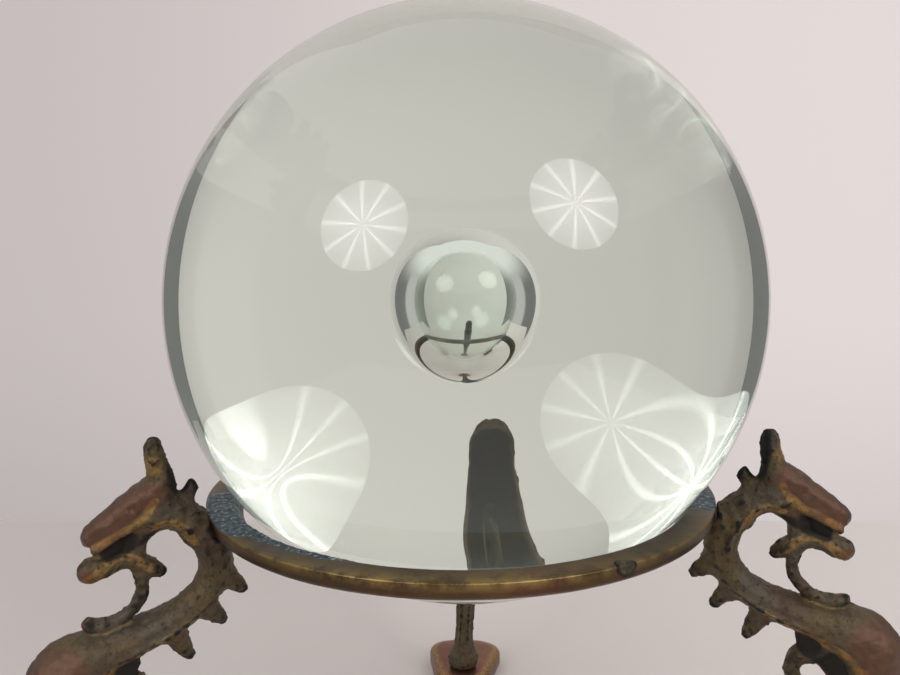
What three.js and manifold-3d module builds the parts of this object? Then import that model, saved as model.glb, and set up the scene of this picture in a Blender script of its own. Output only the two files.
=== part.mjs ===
// A solid crystal ball resting in a brass ring that three cast dragons carry.
// Millimetres, +Z up. The model is first drawn about the ball's centre, and the whole group is
// then moved so that its origin is on the table, under the middle of its box.

import * as THREE from 'three';
import { mergeVertices } from 'three/addons/utils/BufferGeometryUtils.js';
import Module from 'manifold-3d';

const wasm = await Module();
wasm.setup();

// ---------------------------------------------------------------- driving dimensions

const ballRadius = 75;
const tableDepth = 155; // table surface below the ball's centre
const gap = 0.3; // clearance between pieces that touch

// the ring, as radii and depths about the ball's centre
const ring = {
  top: -48.4,
  bottom: -52.7,
  outerRadius: 65.9,
  outerFaceHeight: 2.9,
  topInnerRadius: 58.9,
  lipRadius: 54.8,
  undersideRadius: 63.9,
};

// The castings were finished and set by hand: their ears differ in height, they stand a few
// degrees off even thirds, and the rear one leans, so that it moves sideways by this much for
// each millimetre that it goes down.
const legs = {
  left: { angle: 207.5, lean: 0, earTop: -28.3, solder: [196, 238] },
  right: { angle: -18.5, lean: 0, earTop: -29.2, solder: [-27, -12] },
  rear: { angle: 87, lean: 0.052, earTop: -26.2, solder: [78, 97] },
};

const collarDepth = -146.5; // where a leg's collar ends, above its foot
const ankleRadius = 77; // distance of the ankle's axis from the ball's axis

const foot = {
  innerEnd: 66,
  outerEnd: 97,
  innerHalfWidth: 10.5,
  outerHalfWidth: 14.5,
  bevel: 2.2,
};

const screw = { shankRadius: 2, headRadius: 3.8, headHeight: 2.2, length: 17, recess: 0.8 };
const rivet = { angle: -63.3, radius: 2.3, depth: 4, headHeight: 0.5 };

const sectionSides = 9; // of every bar in a leg

// ---------------------------------------------------------------- materials

function metal(color, roughness) {
  return new THREE.MeshStandardMaterial({ color, roughness, metalness: 0.9 });
}

const glass = new THREE.MeshStandardMaterial({
  color: 0xc8cbc1,
  roughness: 0.02,
  metalness: 0,
  transparent: true,
  opacity: 0.35,
});
const castBrass = metal(0x6b5433, 0.5);
const ringBrass = metal(0x75602f, 0.4);
const footBrass = metal(0x5c4136, 0.35);
const solderGrey = metal(0x4a5a66, 0.6);
const screwSteel = metal(0x7d7d78, 0.45);
const rivetBrass = metal(0x4a3626, 0.5);

// ---------------------------------------------------------------- geometry helpers

function toSolid(geometry) {
  const bare = geometry.clone();
  bare.deleteAttribute('normal');
  bare.deleteAttribute('uv');
  const merged = mergeVertices(bare, 1e-4);
  return new wasm.Manifold(
    new wasm.Mesh({
      numProp: 3,
      vertProperties: new Float32Array(merged.attributes.position.array),
      triVerts: new Uint32Array(merged.index.array),
    }),
  );
}

function toGeometry(solid) {
  const mesh = solid.getMesh();
  const geometry = new THREE.BufferGeometry();
  geometry.setAttribute('position', new THREE.BufferAttribute(mesh.vertProperties, 3));
  geometry.setIndex(new THREE.BufferAttribute(mesh.triVerts, 1));
  geometry.computeVertexNormals();
  return geometry;
}

function join(solids) {
  return solids.reduce((whole, next) => whole.add(next));
}

// Where bars cross, a join leaves slivers far finer than a casting has: this melts them away.
const finestDetail = 0.06;

function melt(solid) {
  return solid.asOriginal().simplify(finestDetail);
}

// A lathe about the Z axis. The profile is a list of [radius, height], going up on its outside.
function turned(profile, segments) {
  const points = profile.map(([radius, height]) => new THREE.Vector2(radius, height));
  const geometry = new THREE.LatheGeometry(points, segments);
  geometry.rotateX(Math.PI / 2);
  return geometry;
}

// A bar with an oval section that changes along its length, lying in the leg's own plane:
// X away from the ball's axis, Z up, Y across. Each station is [x, z, half height, half width].
function bar(stations, steps) {
  const path = new THREE.CatmullRomCurve3(stations.map(([x, z]) => new THREE.Vector3(x, 0, z)));
  const sizes = new THREE.CatmullRomCurve3(
    stations.map(([, , high, wide]) => new THREE.Vector3(high, wide, 0)),
  );
  const geometry = new THREE.CylinderGeometry(1, 1, 1, sectionSides, steps);
  const position = geometry.attributes.position;
  const place = new THREE.Vector3();
  const size = new THREE.Vector3();
  for (let i = 0; i < position.count; i += 1) {
    const along = Math.min(Math.max(position.getY(i) + 0.5, 0), 1);
    path.getPoint(along, place);
    sizes.getPoint(along, size);
    const heading = path.getTangent(along);
    const high = position.getX(i) * size.x;
    const wide = position.getZ(i) * size.y;
    position.setXYZ(i, place.x - heading.z * high, wide, place.z + heading.x * high);
  }
  return toSolid(geometry);
}

function blob([x, z], [halfX, halfY, halfZ], tilt = 0) {
  const geometry = new THREE.SphereGeometry(1, 14, 9);
  geometry.scale(halfX, halfY, halfZ);
  geometry.rotateY(-THREE.MathUtils.degToRad(tilt));
  geometry.translate(x, 0, z);
  return toSolid(geometry);
}

// ---------------------------------------------------------------- the ball and the ring

function ballGeometry() {
  const geometry = new THREE.SphereGeometry(ballRadius, 44, 26);
  geometry.rotateX(Math.PI / 2);
  return geometry;
}

const ringSegments = 72;

function rivetSolid(radius, depth, headHeight) {
  const geometry = new THREE.CylinderGeometry(radius, radius, depth + headHeight, 16);
  geometry.rotateZ(Math.PI / 2);
  geometry.translate(ring.outerRadius - depth + (depth + headHeight) / 2, 0, 0);
  geometry.translate(0, 0, ring.top - rivet.radius + 0.1);
  geometry.rotateZ(THREE.MathUtils.degToRad(rivet.angle));
  return toSolid(geometry);
}

function ringSolid() {
  const outline = [
    [ring.topInnerRadius, ring.top],
    [ring.lipRadius, ring.bottom + 0.7],
    [ring.lipRadius + 0.7, ring.bottom],
    [ring.undersideRadius, ring.bottom],
    [ring.outerRadius - 0.3, ring.top - ring.outerFaceHeight],
    [ring.outerRadius, ring.top],
  ];
  outline.push(outline[0]);
  return toSolid(turned(outline, ringSegments));
}

// ---------------------------------------------------------------- a dragon leg

// The neck passes outside the ring and tucks under it, so the ring rests in a notch.
function ringNotch() {
  const outline = [
    [ring.lipRadius - 8, ring.top + 8],
    [ring.lipRadius - 8, ring.bottom - gap],
    [ring.undersideRadius + gap, ring.bottom - gap],
    [ring.outerRadius + gap, ring.top - ring.outerFaceHeight],
    [ring.outerRadius + gap, ring.top + 8],
  ];
  outline.push(outline[0]);
  return toSolid(turned(outline, ringSegments));
}

// The two ears are cast as one broad tab.
function ears(top) {
  const tab = [
    [76.8, -41.8, 3.1, 5],
    [76.8, -38, 2.8, 4.7],
    [77, top - 6.2, 2.6, 4.1],
    [77.6, top - 2.8, 2.1, 4],
    [77.9, top - 0.9, 1.3, 2.5],
    [78, top, 0.4, 0.6],
  ];
  return bar(tab, 7);
}

function head() {
  const snout = [
    [77.5, -39.8, 3.2, 5.2],
    [82.8, -41.4, 2.9, 4.8],
    [86.8, -44.7, 3.1, 4.2],
    [90.2, -47.8, 2.7, 3.6],
    [92, -49.5, 1.5, 2],
    [92.6, -50.1, 0.4, 0.5],
  ];
  const cheek = [
    [77, -44.5, 4.3, 5],
    [81, -47.8, 3.6, 4.2],
    [84, -51.5, 3, 3],
    [86.5, -54.6, 2, 3],
    [91.2, -56.1, 2.7, 3],
    [93.2, -57.3, 1.7, 1.8],
    [94, -57.8, 0.4, 0.4],
  ];
  const jawKnob = [
    [85.5, -55, 1.9, 2.6],
    [81.6, -56.9, 1.9, 2.3],
    [78.6, -58.8, 1.5, 1.8],
    [77.2, -59.4, 0.4, 0.4],
  ];
  return [bar(snout, 7), bar(cheek, 9), bar(jawKnob, 5)];
}

function beard() {
  const strand = [
    [81.2, -57, 2, 2],
    [80.6, -60.5, 1.5, 1.7],
    [81.6, -64.4, 1.5, 1.6],
    [84.8, -67.8, 1.6, 1.7],
    [89.5, -69, 1.6, 1.8],
    [93, -68.2, 1.5, 1.8],
    [94.4, -68.2, 0.4, 0.5],
  ];
  return bar(strand, 11);
}

function neckAndBody() {
  const spine = [
    [78, -45, 4, 5],
    [73, -46.6, 3.7, 4.9],
    [69, -50.5, 3.6, 4.8],
    [65.9, -57, 3.6, 4.8],
    [66.6, -63, 3.5, 4.6],
    [70.6, -67.6, 3.3, 4.5],
    [77, -71.2, 3.7, 4.9],
    [85, -73.6, 4.2, 5.5],
    [93, -75.4, 4.8, 6.4],
    [99, -76.6, 4.6, 6],
  ];
  return bar(spine, 18);
}

// The crest behind the head and the three spikes down the back, root first.
function spikes() {
  const crest = [
    [71.5, -44.5, 2.2, 2],
    [70, -42.2, 1.7, 1.5],
    [70.2, -40.2, 1, 1],
    [70.8, -39.2, 0.3, 0.3],
  ];
  const backSpikes = [
    { root: [64.5, -62.5], tip: [58.9, -67.4], high: 3.2 },
    { root: [69, -68.8], tip: [63.9, -74.4], high: 3.2 },
    { root: [76, -73.5], tip: [71.8, -81.2], high: 3.4 },
  ];
  const shaped = backSpikes.map(({ root, tip, high }) => {
    const at = (along) => root.map((start, axis) => start + (tip[axis] - start) * along);
    return [
      [...at(0), high, 3],
      [...at(0.5), high * 0.62, 2.1],
      [...at(0.85), 1.4, 1.3],
      [...at(1), 0.4, 0.4],
    ];
  });
  return [crest, ...shaped].map((stations) => bar(stations, 5));
}

// The shoulder, then a cabriole lower leg that comes back in to a fluted ankle.
function lowerLeg() {
  const shin = [
    [98, -78, 6.4, 7.2],
    [100.5, -86, 5.8, 6.4],
    [98, -96, 5.2, 5.6],
    [90, -108, 4.8, 5],
    [81.5, -118, 4.5, 4.6],
    [ankleRadius, -127, 4.2, 4.3],
    [ankleRadius, -134, 4.2, 4.2],
    [ankleRadius, -138, 4.3, 4.3],
  ];
  const collar = turned(
    [
      [0, collarDepth],
      [5.6, collarDepth],
      [6.2, -143.5],
      [5.6, -139],
      [4.3, -133.5],
      [0, -133.5],
    ],
    16,
  );
  collar.translate(ankleRadius, 0, 0);
  const shoulder = blob([97, -77.6], [9, 7.8, 7.2], -25);
  return [shoulder, bar(shin, 12), toSolid(collar)];
}

// A scroll under the body: it leaves the belly, curls inwards and down, and meets the shin.
function scroll() {
  const centre = { x: 87.5, z: -87 };
  const reach = 5.4;
  const turn = (degrees, high, wide) => {
    const angle = THREE.MathUtils.degToRad(degrees);
    return [centre.x + reach * Math.cos(angle), centre.z + reach * Math.sin(angle), high, wide];
  };
  const curl = [
    [91, -77, 2.6, 4],
    turn(95, 2.3, 3.4),
    turn(140, 1.9, 2.8),
    turn(185, 1.8, 2.6),
    turn(235, 1.7, 2.6),
    turn(285, 1.7, 2.8),
    [96, -91, 2.4, 3.2],
  ];
  return bar(curl, 12);
}

function screwHole() {
  const radius = screw.shankRadius + gap;
  const depth = 11;
  const geometry = turned(
    [
      [0, collarDepth - 1],
      [radius, collarDepth - 1],
      [radius, collarDepth + depth],
      [0, collarDepth + depth],
    ],
    20,
  );
  geometry.translate(ankleRadius, 0, 0);
  return toSolid(geometry);
}

// A short web that carries the neck out to the ring's rim, where it is soldered.
function ringWeb() {
  const web = [
    [71.5, -52, 2.1, 4],
    [64, -51.3, 2.3, 4],
  ];
  return bar(web, 2);
}

function castingSolid(earTop) {
  const upper = [...head(), ears(earTop), beard(), neckAndBody(), ringWeb()];
  return melt(join([...upper, ...spikes(), scroll(), ...lowerLeg()]));
}

// ---------------------------------------------------------------- foot and its screw

const footTop = collarDepth - gap;
const footThickness = footTop + tableDepth;

// A paddle seen from above: narrow and round towards the middle, broad at its outer end.
// The bevel grows it again by as much as it is drawn small here.
function footOutline() {
  const innerRound = foot.innerHalfWidth - foot.bevel;
  const innerCentre = foot.innerEnd + foot.innerHalfWidth;
  const half = foot.outerHalfWidth - foot.bevel;
  const end = foot.outerEnd - foot.bevel;
  const corner = 7;
  const flare = Math.atan2(half - innerRound, end - corner - innerCentre);
  const shape = new THREE.Shape();
  shape.absarc(innerCentre, 0, innerRound, Math.PI / 2 + flare, 1.5 * Math.PI - flare);
  shape.lineTo(end - corner, -half);
  shape.quadraticCurveTo(end, -half, end, 0);
  shape.quadraticCurveTo(end, half, end - corner, half);
  return shape;
}

// The screw's own outline, or the hole for it when a clearance is added.
function screwOutline(clearance) {
  const headFace = -tableDepth + screw.recess;
  const shank = screw.shankRadius + clearance;
  const head = screw.headRadius + clearance;
  return [
    [0, headFace],
    [head, headFace],
    [shank, headFace + screw.headHeight],
    [shank, headFace + screw.length],
    [0, headFace + screw.length],
  ];
}

function atAnkle(geometry) {
  geometry.translate(ankleRadius, 0, 0);
  return toSolid(geometry);
}

function footSolid() {
  const plate = new THREE.ExtrudeGeometry(footOutline(), {
    depth: footThickness - foot.bevel,
    bevelEnabled: true,
    bevelThickness: foot.bevel,
    bevelSize: foot.bevel,
    bevelSegments: 2,
    curveSegments: 7,
  });
  plate.translate(0, 0, -tableDepth);
  const below = new THREE.BoxGeometry(60, 60, 20);
  below.translate(ankleRadius, 0, -tableDepth - 10);
  const mouth = new THREE.CylinderGeometry(
    screw.headRadius + gap,
    screw.headRadius + gap,
    2 * screw.recess,
    20,
  );
  mouth.rotateX(Math.PI / 2);
  mouth.translate(0, 0, -tableDepth);
  return toSolid(plate)
    .subtract(toSolid(below))
    .subtract(atAnkle(turned(screwOutline(gap), 20)))
    .subtract(atAnkle(mouth));
}

function screwSolid() {
  const slot = new THREE.BoxGeometry(1, 3 * screw.headRadius, 1.6);
  slot.translate(ankleRadius, 0, -tableDepth + screw.recess);
  return atAnkle(turned(screwOutline(0), 20)).subtract(toSolid(slot));
}

// ---------------------------------------------------------------- solder

// A bead of solder on the ring's flat top, an arc from one angle to another, in degrees.
function solderSolid(fromAngle, toAngle) {
  const inner = ring.topInnerRadius + 1;
  const outer = ring.outerRadius - 1;
  const start = THREE.MathUtils.degToRad(fromAngle);
  const end = THREE.MathUtils.degToRad(toAngle);
  const shape = new THREE.Shape();
  shape.absarc(0, 0, outer, start, end, false);
  shape.absarc(0, 0, inner, end, start, true);
  const geometry = new THREE.ExtrudeGeometry(shape, {
    depth: 0.4,
    bevelEnabled: true,
    bevelThickness: 0.4,
    bevelSize: 0.6,
    bevelOffset: -0.6,
    bevelSegments: 1,
    curveSegments: 7,
  });
  geometry.translate(0, 0, ring.top + gap + 0.4);
  return toSolid(geometry);
}

// ---------------------------------------------------------------- assembly

const object = new THREE.Group();

function add(name, geometry, material, angle = 0, sideways = 0) {
  const mesh = new THREE.Mesh(geometry, material);
  mesh.name = name;
  mesh.rotation.z = THREE.MathUtils.degToRad(angle);
  mesh.position.set(0, sideways, 0).applyEuler(mesh.rotation);
  object.add(mesh);
}

// Slides each layer of a leg sideways by its depth below the ring's top, times the lean.
function leaning(geometry, lean) {
  const slide = new THREE.Matrix4().makeShear(0, 0, 0, 0, 0, -lean);
  const upright = new THREE.Matrix4().makeTranslation(0, 0, -ring.top);
  const back = new THREE.Matrix4().makeTranslation(0, 0, ring.top);
  return geometry.applyMatrix4(back.multiply(slide).multiply(upright));
}

const rivetPlug = rivetSolid(rivet.radius, rivet.depth, rivet.headHeight);
const rivetHole = rivetSolid(rivet.radius + gap, rivet.depth + gap, 2);

add('crystal_ball', ballGeometry(), glass);
add('support_ring', toGeometry(ringSolid().subtract(rivetHole)), ringBrass);
add('ring_rivet', toGeometry(rivetPlug), rivetBrass);

const footPlate = footSolid();
const footScrew = screwSolid();

for (const [side, { angle, lean, earTop, solder }] of Object.entries(legs)) {
  const sideways = lean * (ring.top - collarDepth);
  const leg = toSolid(leaning(toGeometry(castingSolid(earTop)), lean))
    .subtract(ringNotch())
    .subtract(screwHole().translate([0, sideways, 0]));
  add(`${side}_dragon_leg`, toGeometry(leg), castBrass, angle);
  add(`${side}_foot`, toGeometry(footPlate), footBrass, angle, sideways);
  add(`${side}_foot_screw`, toGeometry(footScrew), screwSteel, angle, sideways);
  add(`${side}_leg_solder`, toGeometry(solderSolid(...solder)), solderGrey);
}

object.updateMatrixWorld(true);
const box = new THREE.Box3().setFromObject(object, true);
const centre = box.getCenter(new THREE.Vector3());
object.position.set(-centre.x, -centre.y, -box.min.z);

export default object;
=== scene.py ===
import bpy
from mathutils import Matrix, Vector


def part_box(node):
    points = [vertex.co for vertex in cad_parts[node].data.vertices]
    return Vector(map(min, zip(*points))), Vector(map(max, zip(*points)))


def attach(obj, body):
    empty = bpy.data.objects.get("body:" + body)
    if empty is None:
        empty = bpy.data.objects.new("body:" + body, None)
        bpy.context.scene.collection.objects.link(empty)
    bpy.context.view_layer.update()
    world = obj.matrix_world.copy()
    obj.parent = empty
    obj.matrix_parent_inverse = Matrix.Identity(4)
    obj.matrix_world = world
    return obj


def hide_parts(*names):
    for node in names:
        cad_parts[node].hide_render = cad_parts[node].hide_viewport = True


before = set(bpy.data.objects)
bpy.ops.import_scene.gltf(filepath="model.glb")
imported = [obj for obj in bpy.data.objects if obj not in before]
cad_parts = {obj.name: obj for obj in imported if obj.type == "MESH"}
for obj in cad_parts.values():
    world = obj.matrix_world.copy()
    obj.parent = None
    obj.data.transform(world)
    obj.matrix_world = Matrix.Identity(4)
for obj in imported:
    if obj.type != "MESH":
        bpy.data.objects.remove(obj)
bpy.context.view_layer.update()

# A glass ball with an air bubble, in a brass ring that three cast dragons carry.
# Metres, +Z up. Shapes of the castings are drawn in millimetres about the ball's centre.

import copy
import math

import bmesh
import bpy
import numpy as np
import openvdb
from mathutils import Matrix, Vector, noise

# ---------------------------------------------------------------- sizes, from the frame

ball_low, ball_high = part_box("crystal_ball")
ball_centre = (ball_low + ball_high) / 2
ball_radius = (ball_high.z - ball_low.z) / 2

MM = ball_radius / 75  # one millimetre of the drawing
LEG_ANGLES = {"left": 207.5, "right": -18.5, "rear": 87.0}
LEG_LEAN = {"left": 0.0, "right": 0.0, "rear": 0.052}  # sideways for each millimetre down
RING_ASIDE = -1.36  # the ring's middle from the ball's axis, in millimetres; less than 0 is left
BALL_DROP = 1.0  # how far the ball sinks into the ring, in millimetres
GRID_STEP = 0.45  # of the castings' sculpting grid, in millimetres

ring_centre = ball_centre + Vector((RING_ASIDE * MM, 0, 0))
ball_place = ball_centre - Vector((0, 0, BALL_DROP * MM))


# ---------------------------------------------------------------- small helpers

def new_object(name, points, faces):
    mesh = bpy.data.meshes.new(name)
    mesh.from_pydata([tuple(p) for p in points], [], [tuple(f) for f in faces])
    mesh.validate()
    mesh.shade_smooth()
    made = bpy.data.objects.new(name, mesh)
    bpy.context.scene.collection.objects.link(made)
    return made


def face_outwards(made):
    bm = bmesh.new()
    bm.from_mesh(made.data)
    bmesh.ops.recalc_face_normals(bm, faces=bm.faces)
    bm.to_mesh(made.data)
    bm.free()


def paint(mesh, **layers):
    """Stores values at the mesh's points, for its material to read."""
    for name, values in layers.items():
        layer = mesh.attributes.new(name, "FLOAT", "POINT")
        layer.data.foreach_set("value", np.asarray(values, dtype=np.float32))


def piece(made, body, slot, material, *nodes):
    made.data.materials.clear()
    made.data.materials.append(material)
    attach(made, body)
    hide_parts(*nodes)


def band(first, second, count):
    """Quads between two closed loops of points, which start at these two numbers."""
    faces = []
    for index in range(count):
        after = (index + 1) % count
        faces.append((first + index, first + after, second + after, second + index))
    return faces


def bend(start, corner, end, steps):
    """Places along a curve from start to end that is pulled towards a corner."""
    curve = []
    for step in range(steps + 1):
        t = step / steps
        curve.append(start * (1 - t) ** 2 + corner * 2 * t * (1 - t) + end * t**2)
    return curve


def on_circle(angle, radius, height):
    return Vector((math.cos(angle) * radius, math.sin(angle) * radius, height))


def smoothstep(low, high, value):
    t = np.clip((value - low) / (high - low), 0, 1)
    return t * t * (3 - 2 * t)


# ---------------------------------------------------------------- materials

class Nodes:
    """A node tree under construction: adds nodes and links them by name."""

    def __init__(self, tree):
        self.tree = tree

    def node(self, kind, **values):
        made = self.tree.nodes.new(kind)
        for key, value in values.items():
            setattr(made, key, value)
        return made

    def feed(self, socket, value):
        """Links a value that other nodes make, or stores a plain one."""
        if isinstance(value, bpy.types.NodeSocket):
            self.tree.links.new(value, socket)
        elif socket.type == "RGBA":
            socket.default_value = (*value, 1)
        else:
            socket.default_value = value

    def set(self, node, **values):
        for key, value in values.items():
            self.feed(node.inputs[key.replace("_", " ")], value)
        return node

    def parts(self, vector):
        """The X, Y and Z of a vector."""
        split = self.node("ShaderNodeSeparateXYZ")
        self.feed(split.inputs[0], vector)
        return split.outputs

    def ramp(self, value, low, high, start=0.0, end=1.0, kind="SMOOTHSTEP"):
        made = self.node("ShaderNodeMapRange", interpolation_type=kind)
        self.set(made, Value=value, From_Min=low, From_Max=high, To_Min=start, To_Max=end)
        return made.outputs["Result"]

    def math(self, operation, a, b=0.0, clamp=True):
        made = self.node("ShaderNodeMath", operation=operation, use_clamp=clamp)
        self.feed(made.inputs[0], a)
        self.feed(made.inputs[1], b)
        return made.outputs["Value"]


class Shader(Nodes):
    """A material under construction."""

    def __init__(self, name):
        self.material = bpy.data.materials.new(name)
        self.material.use_nodes = True
        super().__init__(self.material.node_tree)
        self.surface = self.tree.nodes["Principled BSDF"]

    def place(self):
        return self.node("ShaderNodeTexCoord").outputs["Object"]

    def noise(self, scale, detail=6.0, roughness=0.6):
        made = self.node("ShaderNodeTexNoise")
        self.set(made, Vector=self.place(), Scale=scale, Detail=detail, Roughness=roughness)
        return made.outputs["Fac"]

    def attribute(self, name):
        return self.node("ShaderNodeAttribute", attribute_name=name).outputs["Fac"]

    def broken(self, amount, pattern, strength):
        """The amount, raised and lowered by a pattern that averages a half."""
        change = self.node("ShaderNodeMath", operation="MULTIPLY_ADD")
        for socket, value in zip(change.inputs, (pattern, strength, -0.5 * strength)):
            self.feed(socket, value)
        return self.math("ADD", amount, change.outputs["Value"])

    def mix(self, amount, a, b):
        made = self.node("ShaderNodeMix", data_type="RGBA")
        for index, value in ((0, amount), (6, a), (7, b)):
            self.feed(made.inputs[index], value)
        return made.outputs[2]

    def bump(self, height, strength, distance, normal=None):
        made = self.node("ShaderNodeBump")
        self.set(made, Height=height, Strength=strength, Distance=distance)
        if normal is not None:
            self.set(made, Normal=normal)
        return made.outputs["Normal"]


OLIVE = (0.125, 0.086, 0.04)
GREY_BROWN = (0.105, 0.085, 0.06)
DULL = (0.06, 0.045, 0.028)
GOLD = (0.31, 0.185, 0.055)
RED_BROWN = (0.095, 0.045, 0.028)
WORN_RED = (0.118, 0.058, 0.036)
WORN_BROWN = (0.13, 0.07, 0.036)
WORN_GOLD = (0.29, 0.14, 0.04)
# near black: dirt in pits and recesses, and painted shade in the large hollows
RECESS = (0.016, 0.015, 0.014)
SOLDER_BLUE = (0.085, 0.125, 0.175)


def cast_brass():
    """Pitted cast brass: black with dirt in its recesses and with painted shade in its large
    hollows, gold on its edges, rubbed red-brown high spots.
    """
    s = Shader("cast_brass")
    cavity = s.attribute("cavity")
    rub = s.attribute("rub")
    patches = s.noise(75.0, 5.0)
    fine = s.noise(220.0, 6.0, 0.7)
    grain = s.noise(480.0, 8.0, 0.75)
    speckle = s.noise(1500.0, 4.0, 0.7)
    base = s.mix(s.ramp(patches, 0.42, 0.62), OLIVE, GREY_BROWN)
    base = s.mix(s.math("MULTIPLY", s.ramp(s.noise(48.0, 4.0), 0.5, 0.66), 0.6), base, RED_BROWN)
    base = s.mix(s.math("MULTIPLY", s.ramp(grain, 0.46, 0.6), 0.55), base, DULL)
    ridges = s.ramp(cavity, 0.4, 0.15)
    bare = s.ramp(s.broken(s.attribute("gilt"), fine, 1.6), 0.3, 0.85)
    gilded = s.math("MAXIMUM", s.math("MULTIPLY", ridges, 0.75), bare)
    gilded = s.math("MULTIPLY", gilded, s.ramp(grain, 0.38, 0.58, 0.15, 0.95))
    base = s.mix(gilded, base, GOLD)
    pits = s.math("MULTIPLY", s.ramp(speckle, 0.56, 0.68), 0.7)
    dirt_and_shade = s.math("MAXIMUM", s.ramp(cavity, 0.58, 0.86), pits)
    dirt_and_shade = s.math("MULTIPLY", dirt_and_shade, s.math("SUBTRACT", 1.0, s.math("MULTIPLY", rub, 0.85)))
    # painted shade: the large hollows, such as the open mouth and under the belly, darkened near
    # to black
    hollow_shade = s.ramp(s.broken(s.attribute("dark"), fine, 1.3), 0.25, 0.85, 0.0, 0.92)
    dirt_and_shade = s.math("MAXIMUM", dirt_and_shade, hollow_shade)
    # dirt in pits and recesses together with the painted shade of the hollows
    base = s.mix(dirt_and_shade, base, RECESS)
    rubbed = s.mix(s.ramp(patches, 0.4, 0.7), WORN_RED, WORN_BROWN)
    rubbed = s.mix(s.ramp(grain, 0.44, 0.58, 0.0, 0.5), rubbed, RED_BROWN)
    rubbed = s.mix(s.math("MULTIPLY", gilded, 0.85), rubbed, WORN_GOLD)
    worn = s.ramp(s.broken(rub, grain, 0.9), 0.3, 0.85)
    base = s.mix(worn, base, rubbed)
    rough = s.math("ADD", s.ramp(rub, 0.0, 1.0, 0.52, 0.36), s.math("MULTIPLY", dirt_and_shade, 0.2))
    coarse = s.bump(grain, 0.5, 0.0006)
    normal = s.bump(speckle, 0.3, 0.0002, coarse)
    s.set(s.surface, Base_Color=base, Roughness=rough, Normal=normal, Metallic=0.55)
    return s.material


def ring_brass():
    """Turned ring, olive-brown on top with a rubbed outer edge brightened by a painted highlight,
    red and black stains, and painted shade that darkens it away from the front.
    """
    s = Shader("ring_brass")
    patches = s.noise(45.0, 5.0)
    stain = s.noise(130.0, 6.0, 0.7)
    grain = s.noise(1500.0, 3.0)
    edge = s.attribute("edge")
    base = s.mix(s.ramp(patches, 0.4, 0.6), (0.13, 0.074, 0.029), (0.07, 0.043, 0.023))
    reddened = s.math("MULTIPLY", s.ramp(s.noise(30.0, 4.0), 0.5, 0.62), 0.8)
    base = s.mix(reddened, base, (0.115, 0.05, 0.028))
    base = s.mix(s.ramp(stain, 0.6, 0.72), base, (0.04, 0.028, 0.02))
    # painted highlight along the outer top edge, over rubbed brass
    base = s.mix(s.math("MULTIPLY", edge, s.ramp(stain, 0.35, 0.6)), base, (0.42, 0.29, 0.11))
    # painted shade: the ring's colour darkens towards its sides, away from the front
    base = s.mix(s.math("MULTIPLY", s.attribute("grime"), 0.5), base, (0.035, 0.025, 0.017))
    tinned = s.math("MULTIPLY", s.attribute("solder"), s.ramp(stain, 0.34, 0.48, 0.0, 0.4))
    base = s.mix(tinned, base, SOLDER_BLUE)
    rough = s.math("ADD", s.ramp(stain, 0.3, 0.7, 0.32, 0.5), s.math("MULTIPLY", tinned, 0.2))
    normal = s.bump(grain, 0.25, 0.00015, s.bump(stain, 0.35, 0.0004))
    s.set(s.surface, Base_Color=base, Roughness=rough, Normal=normal, Metallic=0.85)
    return s.material


def foot_brass():
    """Smooth red-brown plate, rubbed to gold along its rounded edge."""
    s = Shader("foot_brass")
    patches = s.noise(70.0, 5.0)
    grain = s.noise(1100.0, 4.0)
    edge = s.attribute("edge")
    base = s.mix(s.ramp(patches, 0.35, 0.65), (0.17, 0.07, 0.05), (0.23, 0.12, 0.065))
    base = s.mix(s.math("MULTIPLY", edge, s.ramp(grain, 0.3, 0.6)), base, (0.42, 0.27, 0.1))
    base = s.mix(s.ramp(s.noise(300.0), 0.6, 0.72), base, (0.05, 0.035, 0.025))
    normal = s.bump(grain, 0.2, 0.0002)
    s.set(s.surface, Base_Color=base, Roughness=s.ramp(patches, 0.3, 0.7, 0.3, 0.45))
    s.set(s.surface, Normal=normal, Metallic=0.8)
    return s.material


def solder():
    """Granular blue-grey soft solder with bright grains painted in as glints."""
    s = Shader("solder")
    grain = s.noise(900.0, 5.0, 0.75)
    patches = s.noise(160.0, 4.0)
    base = s.mix(s.ramp(patches, 0.4, 0.62), (0.06, 0.088, 0.115), (0.1, 0.13, 0.155))
    # painted glints: bright grains in the base colour
    base = s.mix(s.ramp(grain, 0.55, 0.63), base, (0.42, 0.47, 0.49))
    base = s.mix(s.ramp(grain, 0.46, 0.36), base, (0.025, 0.032, 0.036))
    normal = s.bump(grain, 0.8, 0.0006)
    s.set(s.surface, Base_Color=base, Roughness=s.ramp(grain, 0.3, 0.7, 0.6, 0.3))
    s.set(s.surface, Normal=normal, Metallic=0.6)
    return s.material


def dark_plug():
    """The ring's rivet: dull olive brass, nearly black where dirt lies."""
    s = Shader("rivet_brass")
    stain = s.noise(420.0, 6.0, 0.75)
    base = s.mix(s.ramp(stain, 0.42, 0.6), (0.05, 0.04, 0.024), (0.13, 0.1, 0.05))
    outline = s.ramp(s.broken(s.attribute("rim"), stain, 0.8), 0.35, 0.8, 0.0, 0.9)
    base = s.mix(outline, base, (0.012, 0.014, 0.012))
    s.set(s.surface, Base_Color=base, Roughness=s.ramp(stain, 0.3, 0.7, 0.6, 0.4))
    s.set(s.surface, Normal=s.bump(stain, 0.6, 0.0005), Metallic=0.6)
    return s.material


def screw_steel():
    s = Shader("screw_steel")
    scratches = s.noise(800.0, 4.0)
    base = s.mix(s.ramp(scratches, 0.4, 0.65), (0.33, 0.32, 0.3), (0.16, 0.14, 0.12))
    s.set(s.surface, Base_Color=base, Roughness=s.ramp(scratches, 0.3, 0.7, 0.35, 0.6))
    s.set(s.surface, Normal=s.bump(scratches, 0.3, 0.0002), Metallic=0.95)
    return s.material


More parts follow.
